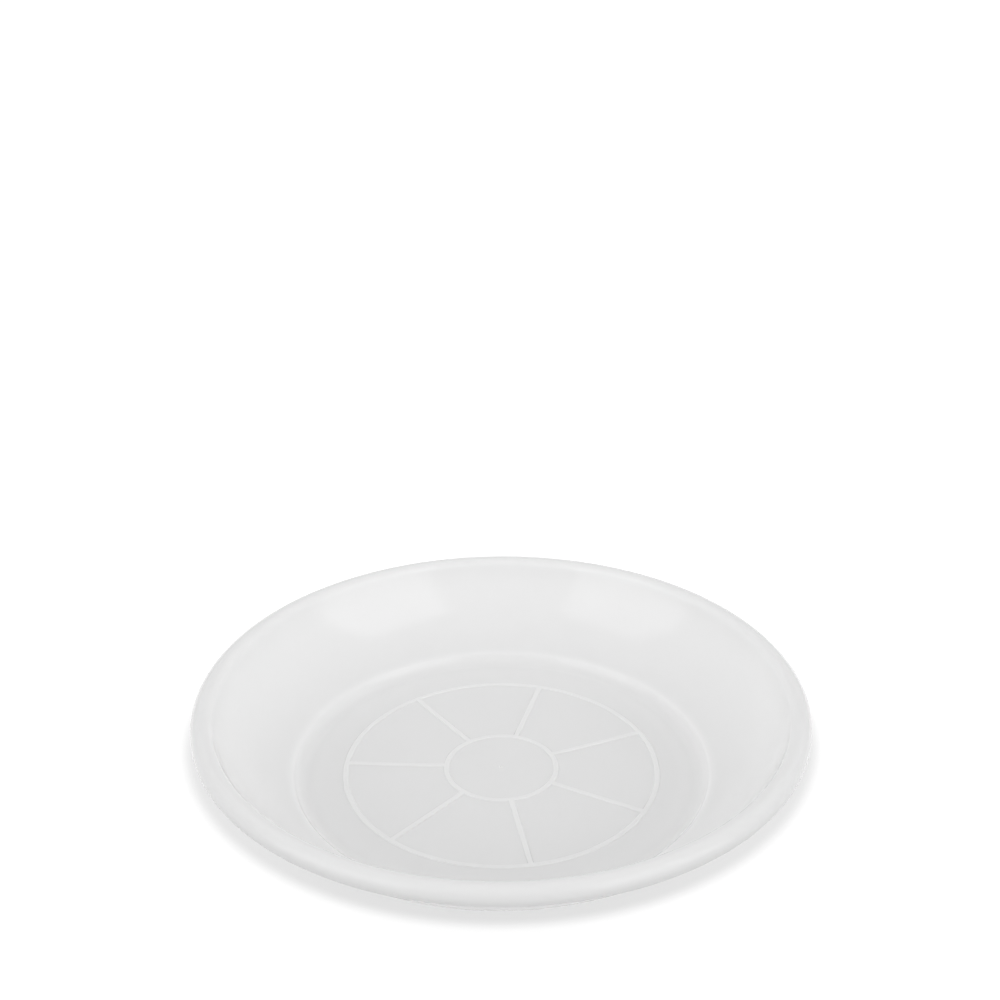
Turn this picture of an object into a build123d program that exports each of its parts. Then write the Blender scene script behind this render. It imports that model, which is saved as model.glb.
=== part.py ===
from build123d import *
import os
from math import acos, cos, degrees, radians, sin, tan

# A round plant saucer, injection moulded in one piece. One skin of even thickness runs from the
# floor through an S-shaped step, a bowl wall and a rolled rim to a short hanging lip. A low web of
# ribs on the floor holds the pot clear of the drained water, and a foot ring carries the saucer.
# Millimetres, +Z up, origin on the table in the middle of the foot ring.

# Rim
rim_diameter = 200.0
overall_height = 33.0
bead_radius = 3.5
lip_drop = 1.5
lip_bevel = 0.5

# Skin
skin_thickness = 1.6

# Bowl wall, step and well
well_diameter = 140.0
step_height = 3.5
step_root_radius = 5.0
step_edge_radius = 3.0
wall_foot_angle = 21.0

# Rib web on the floor
rib_height = 0.3
rib_width = 2.2
rib_draft = 56.0
outer_ring_radius = 52.0
inner_ring_radius = 18.4
spoke_count = 7
first_spoke_angle = 22.6

# Gate pip in the middle of the floor
gate_diameter = 0.9
gate_height = 0.3

# Foot ring under the floor
foot_diameter = 121.0
foot_width = 2.0
foot_height = 1.5
foot_draft = 5.0

# Levels and radii that follow from the sizes above
floor_level = foot_height + skin_thickness
well_radius = well_diameter / 2
foot_inside = foot_diameter / 2 - foot_width / 2
foot_outside = foot_diameter / 2 + foot_width / 2
foot_spread = overall_height * tan(radians(foot_draft))

# The step is two tangent arcs. Its steepest slope follows from its height and the two radii, and
# the flat floor ends where the root arc begins.
foot_slope = radians(wall_foot_angle)
step_slope = acos(
    (step_root_radius + step_edge_radius * cos(foot_slope) - step_height)
    / (step_root_radius + step_edge_radius)
)
step_run = step_root_radius * sin(step_slope) + step_edge_radius * (sin(step_slope) - sin(foot_slope))
floor_radius = well_radius - step_run

# The bowl is the one arc that leaves the step at its set angle and runs tangent into the bead.
wall_foot = Vector(well_radius, floor_level + step_height)
bead_centre = Vector(rim_diameter / 2 - bead_radius, overall_height - bead_radius)
foot_normal = Vector(-sin(foot_slope), cos(foot_slope))
foot_to_bead = bead_centre - wall_foot
bowl_radius = (foot_to_bead.length**2 - bead_radius**2) / (
    2 * (bead_radius + foot_to_bead.dot(foot_normal))
)
bowl_centre = wall_foot + foot_normal * bowl_radius
bead_to_bowl = (bowl_centre - bead_centre).normalized()
wall_top = bead_centre + bead_to_bowl * bead_radius
wall_top_angle = bead_to_bowl.get_angle(Vector(0, 1))

# The skin's upper line, from the axis out to the lip, each stretch tangent to the one before.
with BuildLine() as upper:
    floor = Line((0, floor_level), (floor_radius, floor_level))
    root = JernArc(floor @ 1, floor % 1, step_root_radius, degrees(step_slope))
    edge = JernArc(root @ 1, root % 1, step_edge_radius, wall_foot_angle - degrees(step_slope))
    bowl = TangentArc(edge @ 1, wall_top, tangent=edge % 1)
    bead = JernArc(bowl @ 1, bowl % 1, bead_radius, -(wall_top_angle + 90))
    lip = PolarLine(bead @ 1, lip_drop, -90)

with BuildPart() as saucer:

    with BuildSketch(Plane.XZ):

        # All that lies between the upper line and the table is cut down to the foot ring, which
        # narrows towards the table. So the ring meets the skin wherever it stands.
        with BuildLine():
            add(upper.line)
            Polyline(lip @ 1, (rim_diameter / 2, 0), (0, 0), floor @ 0)
        make_face()
        with BuildLine():
            Polyline(
                (foot_inside, 0),
                (foot_outside, 0),
                (foot_outside + foot_spread, overall_height),
                (foot_inside - foot_spread, overall_height),
                close=True,
            )
        make_face(mode=Mode.INTERSECT)

        # The upper line thickened downwards is the skin.
        with BuildLine():
            add(upper.line)
            offset(amount=skin_thickness, side=Side.RIGHT)
        make_face()
    revolve(axis=Axis.Z)

    # The lip's end is the highest level face. Both of its edges are broken.
    lip_end = saucer.faces().filter_by(Axis.Z).sort_by(Axis.Z)[-1]
    chamfer(lip_end.edges(), length=lip_bevel)

    # The rib web, drawn in plan as two rings and their spokes, rises from the floor with draft.
    spoke_length = outer_ring_radius - inner_ring_radius
    with BuildSketch(Plane.XY.offset(floor_level)):
        for ring_radius in (outer_ring_radius, inner_ring_radius):
            Circle(ring_radius + rib_width / 2)
            Circle(ring_radius - rib_width / 2, mode=Mode.SUBTRACT)
        with PolarLocations(inner_ring_radius + spoke_length / 2, spoke_count, first_spoke_angle):
            Rectangle(spoke_length, rib_width)
    extrude(amount=rib_height, taper=rib_draft)

    # The pip that the injection gate left.
    with BuildSketch(Plane.XY.offset(floor_level)):
        Circle(gate_diameter / 2)
    extrude(amount=gate_height)

saucer.part.label = "saucer"
os.makedirs("parts", exist_ok=True)
export_step(saucer.part, "parts/saucer.step")
print(f"bowl radius {bowl_radius:.2f}, wall slope at the rim {wall_top_angle:.1f} degrees")
print(f"steepest slope of the step {degrees(step_slope):.1f} degrees, floor radius {floor_radius:.2f}")
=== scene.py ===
# %% [markdown]
# # A white plant saucer
# This lesson dresses one moulded plastic saucer: a flat ribbed floor, a small step, a bowl wall and a
# rolled rim. The real one is a single injection moulding, so the model is a single closed mesh with
# one material. The measured CAD solid is loaded first, and its box says how large the saucer is.

# %% Load the frame
from math import acos, atan2, cos, degrees, pi, radians, sin, tan

import bmesh
import bpy
from mathutils import Matrix, Vector


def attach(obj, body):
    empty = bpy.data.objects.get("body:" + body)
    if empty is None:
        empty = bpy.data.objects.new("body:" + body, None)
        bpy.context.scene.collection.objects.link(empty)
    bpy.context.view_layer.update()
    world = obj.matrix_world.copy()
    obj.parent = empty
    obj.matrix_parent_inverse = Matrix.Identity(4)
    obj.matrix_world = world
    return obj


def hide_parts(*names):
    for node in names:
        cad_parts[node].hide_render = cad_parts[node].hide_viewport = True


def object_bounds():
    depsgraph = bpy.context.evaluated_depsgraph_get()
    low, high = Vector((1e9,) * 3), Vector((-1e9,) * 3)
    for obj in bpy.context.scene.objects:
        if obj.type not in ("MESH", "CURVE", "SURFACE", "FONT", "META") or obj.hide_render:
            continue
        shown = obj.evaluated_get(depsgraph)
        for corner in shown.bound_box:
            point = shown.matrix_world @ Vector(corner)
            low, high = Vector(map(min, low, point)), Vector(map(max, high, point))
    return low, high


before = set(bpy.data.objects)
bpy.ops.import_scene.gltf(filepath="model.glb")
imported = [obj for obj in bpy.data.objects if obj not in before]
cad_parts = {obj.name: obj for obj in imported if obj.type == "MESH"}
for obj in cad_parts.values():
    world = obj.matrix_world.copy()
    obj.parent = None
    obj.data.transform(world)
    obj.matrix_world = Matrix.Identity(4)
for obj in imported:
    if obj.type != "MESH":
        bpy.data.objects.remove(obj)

cad_low, cad_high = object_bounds()
mm = 0.001
print("CAD box in mm", [round(v / mm, 2) for v in (*cad_low, *cad_high)])

# %% [markdown]
# ## The section
# A saucer is a lathe form, so everything but its ribs follows from one line: the upper skin, seen in
# section from the axis out to the lip. It is a chain of straight stretches and arcs in which each one
# leaves in the direction of the one before. The arcs could be lists of points, but a pen that walks
# and turns keeps the chain smooth by itself: walking extrudes the pen's vertex, and turning spins it.

# %% Sizes of the section
rim_radius = cad_high.x
crest = cad_high.z
bead_radius = 3.5 * mm
lip_drop = 1.5 * mm
skin = 1.6 * mm
well_radius = 70.0 * mm
step_height = 3.5 * mm
step_root_radius = 5.0 * mm
step_edge_radius = 3.0 * mm
wall_foot_slope = radians(21.0)
foot_height = 1.5 * mm
floor_level = cad_low.z + foot_height + skin

step_slope = acos(
    (step_root_radius + step_edge_radius * cos(wall_foot_slope) - step_height)
    / (step_root_radius + step_edge_radius)
)
step_run = step_root_radius * sin(step_slope)
step_run += step_edge_radius * (sin(step_slope) - sin(wall_foot_slope))
floor_radius = well_radius - step_run
print("flat floor radius in mm", round(floor_radius / mm, 2))

# %% [markdown]
# The bowl wall is a single arc. It leaves the step at a set slope and has to run smoothly into the
# bead of the rim, and only one radius does both. It follows from the place of the bead's centre as
# seen from the foot of the wall.

# %% The bowl's radius
bead_centre = Vector((rim_radius - bead_radius, crest - bead_radius))
foot_to_bead = bead_centre - Vector((well_radius, floor_level + step_height))
across_wall = Vector((-sin(wall_foot_slope), cos(wall_foot_slope)))
bowl_radius = foot_to_bead.length_squared - bead_radius**2
bowl_radius /= 2 * (bead_radius + foot_to_bead.dot(across_wall))
bowl_to_bead = foot_to_bead - across_wall * bowl_radius
wall_top_slope = atan2(bowl_to_bead.y, bowl_to_bead.x) + pi / 2
print("bowl radius in mm", round(bowl_radius / mm, 2), "top slope", round(degrees(wall_top_slope), 1))


# %% A pen that draws with extrude and spin
class Pen:
    """Draws a line of edges in the XZ plane from the vertex that it holds."""

    def __init__(self, bm, x, z):
        self.bm = bm
        self.tip = bmesh.ops.create_vert(bm, co=(x, 0, z))["vert"][0]
        self.heading = 0.0

    def walk(self, length):
        """Goes straight ahead."""
        made = bmesh.ops.extrude_vert_indiv(self.bm, verts=[self.tip])
        self.tip = made["verts"][0]
        ahead = Vector((cos(self.heading), 0, sin(self.heading)))
        bmesh.ops.translate(self.bm, verts=[self.tip], vec=ahead * length)

    def turn(self, radius, angle, steps):
        """Turns left for a positive angle and right for a negative one."""
        side = 1 if angle > 0 else -1
        to_centre = Vector((-sin(self.heading), 0, cos(self.heading))) * radius * side
        made = bmesh.ops.spin(
            self.bm,
            geom=[self.tip],
            cent=self.tip.co + to_centre,
            axis=(0, -1, 0),
            angle=angle,
            steps=steps,
        )
        self.tip = next(e for e in made["geom_last"] if isinstance(e, bmesh.types.BMVert))
        self.heading += angle


# %% [markdown]
# ## Where the floor needs edges
# The ribs, the gate mark and the foot ring grow out of the flat floor later, so the floor gets an
# edge at each radius where one of them begins. Next to a rib lies a second edge a hair further out:
# it keeps the soft shading of the rib's foot from spreading over the flat floor.

# %% Sizes on the floor
rib_width = 2.2 * mm
outer_ring_radius = 52.0 * mm
inner_ring_radius = 18.4 * mm
gate_radius = 0.45 * mm
foot_radius = 60.5 * mm
foot_width = 2.0 * mm
foot_spread = foot_height * tan(radians(5.0))
shade_guard = 0.1 * mm

half_rib = rib_width / 2
half_foot = foot_width / 2 + foot_spread
floor_stops = [
    gate_radius,
    gate_radius + shade_guard,
    inner_ring_radius - half_rib - shade_guard,
    inner_ring_radius - half_rib,
    inner_ring_radius + half_rib,
    outer_ring_radius - half_rib,
    outer_ring_radius + half_rib,
    outer_ring_radius + half_rib + shade_guard,
    foot_radius - half_foot,
    foot_radius + half_foot,
    floor_radius,
]
print("floor with", len(floor_stops), "edges between the axis and the step")

# %% Draw the section
bm = bmesh.new()
pen = Pen(bm, 0.0, floor_level)
reached = 0.0
for stop in floor_stops:
    pen.walk(stop - reached)
    reached = stop
pen.turn(step_root_radius, step_slope, steps=12)
pen.turn(step_edge_radius, wall_foot_slope - step_slope, steps=9)
pen.turn(bowl_radius, wall_top_slope - wall_foot_slope, steps=24)
pen.turn(bead_radius, -(wall_top_slope + pi / 2), steps=24)
pen.walk(lip_drop)
print("section has", len(bm.verts), "points, lip ends at", [round(v / mm, 3) for v in pen.tip.co])

# %% [markdown]
# ## Turning the saucer
# One full spin turns the section into the skin. The number of steps is a multiple of the number of
# spokes, so that every spoke meets the same pattern of edges. The points on the axis fall together
# and are merged, and the normals are set before the skin gets its thickness.

# %% Spin and thicken
spoke_count = 7
first_spoke = radians(22.6)
steps_per_spoke = 60
merge_gap = 0.0005 * mm

bmesh.ops.spin(
    bm,
    geom=bm.verts[:] + bm.edges[:],
    cent=(0, 0, 0),
    axis=(0, 0, 1),
    angle=2 * pi,
    steps=spoke_count * steps_per_spoke,
    use_merge=True,
)
bmesh.ops.rotate(bm, verts=bm.verts, cent=(0, 0, 0), matrix=Matrix.Rotation(first_spoke, 3, "Z"))
bmesh.ops.remove_doubles(bm, verts=bm.verts, dist=merge_gap)
bmesh.ops.recalc_face_normals(bm, faces=bm.faces)
middle = min(bm.faces, key=lambda f: f.calc_center_median().xy.length)
if middle.normal.z < 0:
    bmesh.ops.reverse_faces(bm, faces=bm.faces)
bmesh.ops.solidify(bm, geom=bm.faces[:], thickness=skin)
print("skin lies between", [round(f(v.co.z for v in bm.verts) / mm, 3) for f in (min, max)])

# %% [markdown]
# ## The lip
# Moulded edges are never sharp. The lip hangs down outside the wall and ends in a narrow flat face,
# and both edges of that face are rounded with a bevel.

# %% Round the lip
lip_round = 0.5 * mm
lip_level = crest - bead_radius - lip_drop
sharp = 0.1
close = 0.01 * mm
level_normal = 0.999


def level_faces(level, low_radius, high_radius):
    """The level faces at one height whose middle lies between two radii."""
    found = []
    for face in bm.faces:
        spot = face.calc_center_median()
        if abs(face.normal.z) > level_normal and abs(spot.z - level) < close:
            if low_radius < spot.xy.length < high_radius:
                found.append(face)
    return found


lip_end = level_faces(lip_level, rim_radius - 2 * skin, rim_radius)
lip_edges = {e for f in lip_end for e in f.edges if abs(e.calc_face_angle()) > sharp}
bmesh.ops.bevel(
    bm,
    geom=list(lip_edges),
    offset=lip_round,
    offset_type="OFFSET",
    segments=5,
    profile=0.5,
    affect="EDGES",
    material=-1,
)
print("lip end of", len(lip_end), "faces,", len(lip_edges), "edges rounded")

# %% [markdown]
# ## The rib web
# Two rings and seven spokes stand about a third of a millimetre above the floor, so that water can lie
# under the pot. They could be separate bars that sink into the floor, but on the moulding they are one
# skin with it, so they grow out of its faces. The rings already have their edges. Each spoke is cut
# out of the floor between the rings by two planes.

# %% Cut the spokes
between = (inner_ring_radius + half_rib, outer_ring_radius - half_rib)
spoke_reach = 3 * rib_width
spoke_turn = 2 * pi / spoke_count

for k in range(spoke_count):
    angle = first_spoke + k * spoke_turn
    along = Vector((cos(angle), sin(angle), 0))
    across = Vector((-sin(angle), cos(angle), 0))
    for side in (-1, 1):
        near = []
        for face in level_faces(floor_level, *between):
            spot = face.calc_center_median()
            if spot.dot(along) > 0 and abs(spot.dot(across)) < spoke_reach:
                near.append(face)
        geom = {*near, *(e for f in near for e in f.edges), *(v for f in near for v in f.verts)}
        bmesh.ops.bisect_plane(
            bm,
            geom=list(geom),
            dist=merge_gap,
            plane_co=across * half_rib * side,
            plane_no=across,
        )
print("floor between the rings in", len(level_faces(floor_level, *between)), "slivers")

# %% [markdown]
# The cuts leave many slivers, and an inset would follow every one of their edges. So they are dissolved
# into one face for each pocket and one for each spoke, with the bits of ring that it runs into,
# because a clean face insets cleanly.


# %% Join the slivers
def off_spoke(spot):
    """How far a point lies from the middle line of the nearest spoke."""
    turn = (atan2(spot.y, spot.x) - first_spoke) % spoke_turn
    turn = min(turn, spoke_turn - turn)
    return spot.xy.length * sin(turn)


def web_faces(on_spoke):
    """The faces between the rings that lie on the spokes, or those that don't."""
    found = level_faces(floor_level, *between)
    return [f for f in found if (off_spoke(f.calc_center_median()) < half_rib) == on_spoke]


rings = []
for radius in (inner_ring_radius, outer_ring_radius):
    rings += level_faces(floor_level, radius - half_rib, radius + half_rib)
crossings = [f for f in rings if min(off_spoke(v.co) for v in f.verts) < half_rib]
bmesh.ops.dissolve_faces(bm, faces=web_faces(True) + crossings)
bmesh.ops.dissolve_faces(bm, faces=web_faces(False))
spokes = web_faces(True)
pockets = web_faces(False)
print("between the rings:", len(spokes), "spokes and", len(pockets), "pockets")

# %% [markdown]
# The web rises in small insets that follow a soft S, first out of the floor and then over onto the
# flat top. A plain extrusion with a bevel would do too, but the insets carry the lean of the sides,
# the round at the foot and the round at the top in one short list. The gate mark in the middle of the
# floor and the foot ring under it grow in the same way.


# %% Raise the ribs, the gate mark and the foot ring
def grow(faces, insets):
    """Insets a region in steps, each given as a distance inwards and a distance out of the surface."""
    for inward, outward in insets:
        bmesh.ops.inset_region(bm, faces=faces, thickness=inward, depth=outward, use_even_offset=True)


rib_rise = 0.3 * mm
rib_lean = 0.44 * mm
soft_shares = [(0.2, 0.08), (0.2, 0.24), (0.2, 0.36), (0.2, 0.24), (0.2, 0.08)]
rib_flank = [(rib_lean * i, rib_rise * o) for i, o in soft_shares]

bmesh.ops.inset_individual(bm, faces=pockets, thickness=shade_guard, use_even_offset=True)
rings = [f for f in rings if f.is_valid]
grow(rings + spokes, rib_flank + [(shade_guard, 0)])

gate_rise = 0.3 * mm
gate_lean = 0.15 * mm
gate = level_faces(floor_level, 0, gate_radius)
grow(gate, [(gate_lean * i, gate_rise * o) for i, o in soft_shares])

foot_round = 0.15 * mm
foot = level_faces(floor_level - skin, foot_radius - half_foot, foot_radius + half_foot)
grow(foot, [(foot_spread, foot_height - foot_round), (foot_round / 3, foot_round * 2 / 3)])
grow(foot, [(foot_round * 2 / 3, foot_round / 3), (shade_guard, 0)])
print("web of", len(rings) + len(spokes), "faces, foot of", len(foot), "faces")

# %% [markdown]
# ## One closed piece
# The mesh becomes one object at the origin that rides on the saucer's only body and stands for its
# CAD node. A closed moulding has no open edges, and its volume should agree with the CAD solid.

# %% Make the saucer
cm = 10 * mm
open_edges = sum(not e.is_manifold for e in bm.edges)
print("open edges", open_edges, "volume in cubic cm", round(bm.calc_volume() / cm**3, 2))
for face in bm.faces:
    face.smooth = True
moulding = bpy.data.meshes.new("saucer_moulding")
bm.to_mesh(moulding)
bm.free()
saucer = bpy.data.objects.new("saucer_moulding", moulding)
bpy.context.scene.collection.objects.link(saucer)
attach(saucer, "root")
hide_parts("saucer")
print("saucer of", len(moulding.polygons), "faces")

# %% [markdown]
# ## Shader maths in plain Python
# A material is a small graph of nodes. Written out by hand it is hard to read, so one class wraps a
# socket and lets ordinary operators add the Math nodes, and one method makes every other node.


# %% A wrapper for sockets
class Sock:
    """A socket of a node tree that can be added, subtracted and multiplied."""

    def __init__(self, tree, socket):
        self.tree = tree
        self.socket = socket

    def node(self, kind, settings=None, inputs=None):
        """Makes a node: its settings first, then the values or links of its sockets."""
        made = self.tree.nodes.new(kind)
        for name, value in (settings or {}).items():
            setattr(made, name, value)
        for name, value in (inputs or {}).items():
            if isinstance(value, Sock):
                self.tree.links.new(value.socket, made.inputs[name])
            else:
                made.inputs[name].default_value = value
        return made

    def out(self, kind, output, settings=None, inputs=None):
        """Makes a node and wraps one of its outputs."""
        return Sock(self.tree, self.node(kind, settings, inputs).outputs[output])

    def grey(self):
        """A colour that has the value of the socket in all three channels."""
        return self.out("ShaderNodeCombineColor", 0, inputs={0: self, 1: self, 2: self})

    def maths(self, operation, first, second):
        """One step of arithmetic."""
        inputs = {0: first, 1: second}
        return self.out("ShaderNodeMath", 0, {"operation": operation}, inputs)

    def ramp(self, low, high):
        """Rises softly from 0 to 1 while the value of the socket goes from low to high."""
        inputs = {"Value": self, "From Min": low, "From Max": high}
        return self.out("ShaderNodeMapRange", "Result", {"interpolation_type": "SMOOTHSTEP"}, inputs)

    def __add__(self, other):
        return self.maths("ADD", self, other)

    def __radd__(self, other):
        return self.maths("ADD", other, self)

    def __sub__(self, other):
        return self.maths("SUBTRACT", self, other)

    def __rsub__(self, other):
        return self.maths("SUBTRACT", other, self)

    def __mul__(self, other):
        return self.maths("MULTIPLY", self, other)

    def __rmul__(self, other):
        return self.maths("MULTIPLY", other, self)


def empty_tree(owner):
    """Clears the nodes of a material or a world and returns a wrapper without a socket."""
    owner.use_nodes = True
    owner.node_tree.nodes.clear()
    return Sock(owner.node_tree, None)


# %% [markdown]
# ## The plastic
# The saucer is white polypropylene from a polished mould. A plain white with a gloss would look like
# enamel. Light sinks a few millimetres into this plastic, so edges look soft: that is the subsurface
# part of the shader. Light and shade are also painted into the white: painted light makes the ribs,
# the gate mark and the step a shade paler, and painted shade makes the rolled rim a shade greyer. On
# top of that come faint clouds, a gloss that wanders a little, and a very fine ripple that breaks up
# the edges of reflections.

# %% Tones of the plastic
plain_white = 0.865
clouds = 0.02
# Painted light: the ribs, the step and the gate mark are painted a shade paler.
rib_painted_light = 0.035
step_painted_light = 0.03
gate_painted_highlight = 0.11
# Painted shade: the rolled rim is painted a shade greyer.
rim_painted_shade = 0.06
plain_gloss = 0.085
gloss_wander = 0.03
lightest = plain_white + clouds + max(rib_painted_light, step_painted_light, gate_painted_highlight)
print("white between", round(plain_white - rim_painted_shade, 3), "and", round(lightest, 3))


# %% White polypropylene
def white_polypropylene():
    material = bpy.data.materials.new("white_polypropylene")
    start = empty_tree(material)
    place = start.out("ShaderNodeTexCoord", "Object")
    height = start.out("ShaderNodeSeparateXYZ", "Z", inputs={0: place})
    flat = start.out("ShaderNodeVectorMath", 0, {"operation": "MULTIPLY"}, {0: place, 1: (1, 1, 0)})
    radius = start.out("ShaderNodeVectorMath", "Value", {"operation": "LENGTH"}, {0: flat})

    def noise(scale, detail):
        inputs = {"Vector": place, "Scale": scale, "Detail": detail}
        return start.out("ShaderNodeTexNoise", "Fac", inputs=inputs)

    # Masks of the painted light on the ribs and the step.
    rib_light_mask = height.ramp(floor_level + 0.1 * rib_rise, floor_level + 0.8 * rib_rise)
    rib_light_mask = rib_light_mask * radius.ramp(floor_radius, floor_radius - rib_width)
    step_light_mask = radius.ramp(floor_radius - 1 * mm, floor_radius + 1 * mm)
    step_light_mask = step_light_mask * radius.ramp(well_radius + 2 * mm, well_radius - 1 * mm)
    # Mask of the painted highlight on the gate mark.
    gate = radius.ramp(2 * gate_radius, gate_radius)
    # Mask of the painted shade on the rolled rim.
    rim_shade_mask = radius.ramp(rim_radius - 1.9 * bead_radius, rim_radius - 1.0 * bead_radius)

    white = plain_white + clouds * noise(scale=22.0, detail=3.0)
    # The painted light and the painted shade are added into the white here.
    white = white + rib_painted_light * rib_light_mask + step_painted_light * step_light_mask + gate_painted_highlight * gate - rim_painted_shade * rim_shade_mask
    gloss = plain_gloss + gloss_wander * noise(scale=60.0, detail=4.0)
    grain = noise(scale=420.0, detail=2.0)
    ripple = start.out(
        "ShaderNodeBump",
        "Normal",
        inputs={"Height": grain, "Strength": 0.06, "Distance": 0.05 * mm},
    )
    shader = start.out(
        "ShaderNodeBsdfPrincipled",
        "BSDF",
        inputs={
            "Base Color": white.grey(),
            "Roughness": gloss,
            "Normal": ripple,
            "IOR": 1.49,
            "Subsurface Weight": 1.0,
            "Subsurface Radius": (1, 1, 1),
            "Subsurface Scale": 2.5 * mm,
        },
    )
    start.node("ShaderNodeOutputMaterial", inputs={"Surface": shader})
    return material


saucer.data.materials.append(white_polypropylene())
print("material", saucer.data.materials[0].name)

# %% [markdown]
# ## The floor
# The saucer stands on a wide white floor. A grid of one square is enough for it. It lies a hair under
# the foot ring, so that the two don't share a plane.

# %% White floor
floor_size = 60.0
floor_gap = 0.02 * mm
sheet = bmesh.new()
bmesh.ops.create_grid(sheet, x_segments=1, y_segments=1, size=floor_size / 2)
bmesh.ops.translate(sheet, verts=sheet.verts, vec=(0, 0, cad_low.z - floor_gap))
paper = bpy.data.meshes.new("studio_floor")
sheet.to_mesh(paper)
sheet.free()
floor = bpy.data.objects.new("studio_floor", paper)
bpy.context.scene.collection.objects.link(floor)
print("floor", floor_size, "m across")

# %% [markdown]
# The photo is cut out on white, and its shadow looks like one that was painted in afterwards: a soft
# round patch, a little wider than the saucer and set behind its middle. A lamp would cast another
# shadow, so the patch is painted here too. The floor glows towards the camera and in reflections, less
# inside the patch than outside it, and a little real light and shade is added to the glow. Behind the
# saucer, where the photo doesn't show it, the patch fades away. To all other light the floor is plain
# pale paper.

# %% Paper with a painted shadow
paper_grey = (0.55, 0.55, 0.55, 1)
shade_grey = (0.25, 0.25, 0.25, 1)
paper_glow = 0.87
patch_depth = 0.23
patch_centre = (0, 0.037, cad_low.z)
patch_radius = 111.5 * mm
patch_blur = 3.2 * mm
patch_fade_start = 10.0 * mm
patch_fade_end = 75.0 * mm


def floor_paper():
    material = bpy.data.materials.new("floor_paper")
    start = empty_tree(material)
    rays = start.node("ShaderNodeLightPath")
    kinds = ("Camera", "Glossy", "Transmission")
    seen = sum(Sock(start.tree, rays.outputs[f"Is {kind} Ray"]) for kind in kinds)
    plain = start.out("ShaderNodeBsdfDiffuse", 0, inputs={"Color": paper_grey})
    shade = start.out("ShaderNodeBsdfDiffuse", 0, inputs={"Color": shade_grey})

    place = start.out("ShaderNodeTexCoord", "Object")
    back = start.out("ShaderNodeSeparateXYZ", "Y", inputs={0: place})
    ends = {0: place, 1: patch_centre}
    off_centre = start.out("ShaderNodeVectorMath", "Value", {"operation": "DISTANCE"}, ends)
    dark = off_centre.ramp(patch_radius + patch_blur, patch_radius - patch_blur)
    dark = dark * back.ramp(patch_fade_end, patch_fade_start)
    light = paper_glow - patch_depth * dark

    glow = start.out("ShaderNodeEmission", 0, inputs={"Color": light.grey(), "Strength": 1.0})
    shown = start.out("ShaderNodeAddShader", 0, inputs={0: shade, 1: glow})
    mixed = start.out("ShaderNodeMixShader", 0, inputs={0: seen, 1: plain, 2: shown})
    start.node("ShaderNodeOutputMaterial", inputs={"Surface": mixed})
    return material


floor.data.materials.append(floor_paper())
print("painted shadow", round(2 * patch_radius / mm), "mm across")

# %% [markdown]
# ## The light
# Two tall softboxes stand left and right of the camera, and the wall at the back of the bowl mirrors
# them as two pale patches with straight sides. Area lamps give these soft shapes, where point lamps
# would give hard dots.

# %% Softboxes
box_distance = 8.0
box_width = 7.6
box_foot = 1.1
box_top = 12.4


def softbox(name, azimuth, radiance):
    """A tall panel of light. Azimuth is counted to the right from the camera's side of the saucer."""
    lamp = bpy.data.lights.new(name, "AREA")
    lamp.shape = "RECTANGLE"
    lamp.size = box_width
    lamp.size_y = box_top - box_foot
    lamp.energy = radiance * pi * lamp.size * lamp.size_y
    panel = bpy.data.objects.new(name, lamp)
    bpy.context.scene.collection.objects.link(panel)
    place = Vector((sin(azimuth), -cos(azimuth), 0)) * box_distance
    panel.location = place + Vector((0, 0, (box_foot + box_top) / 2))
    panel.rotation_euler = place.to_track_quat("Z", "Y").to_euler()
    panel.visible_camera = False


softbox("softbox_right", azimuth=radians(55), radiance=1.05)
softbox("softbox_left", azimuth=radians(-58), radiance=0.88)
print("softboxes", box_width, "m wide and", round(box_top - box_foot, 2), "m tall")

# %% [markdown]
# A pale room fills in from all sides, as the walls of a white studio do. It is a little brighter from
# the left and the right: the sideways part of a ray, squared, is 1 there and 0 in front and behind.

# %% Pale room
room_level = 0.70
side_gain = 0.15

world = bpy.data.worlds.new("pale_room")
bpy.context.scene.world = world
start = empty_tree(world)
ray = start.out("ShaderNodeTexCoord", "Generated")
sideways = start.out("ShaderNodeSeparateXYZ", "X", inputs={0: ray})
level = room_level + side_gain * (sideways * sideways)
room = start.out("ShaderNodeBackground", 0, inputs={"Color": (1, 1, 1, 1), "Strength": level})
start.node("ShaderNodeOutputWorld", inputs={"Surface": room})
print("room between", room_level, "and", round(room_level + side_gain, 2))

# %% [markdown]
# ## The camera
# The camera stands about half a metre away and sees the saucer from about 35 degrees above its floor.
# A tracking constraint could aim it, but its lens, place and slight roll were worked out from the
# outlines of the rim and the rings, so its turns are set one by one.

# %% Camera
view = bpy.data.cameras.new("photo_camera")
view.lens = 52.20
view.sensor_width = 36.0
view.clip_start = 0.01
camera = bpy.data.objects.new("photo_camera", view)
bpy.context.scene.collection.objects.link(camera)

camera_place = Vector((-0.00084, -0.40511, 0.28614))
look_down = radians(24.515)
look_right = radians(0.13)
roll_right = radians(0.32)
turned = Matrix.Rotation(-look_right, 4, "Z") @ Matrix.Rotation(pi / 2 - look_down, 4, "X")
turned = turned @ Matrix.Rotation(-roll_right, 4, "Z")
camera.matrix_world = Matrix.Translation(camera_place) @ turned
bpy.context.scene.camera = camera
bpy.context.scene.view_settings.view_transform = "Standard"
print("camera", round(camera_place.length, 3), "m from the middle of the saucer")
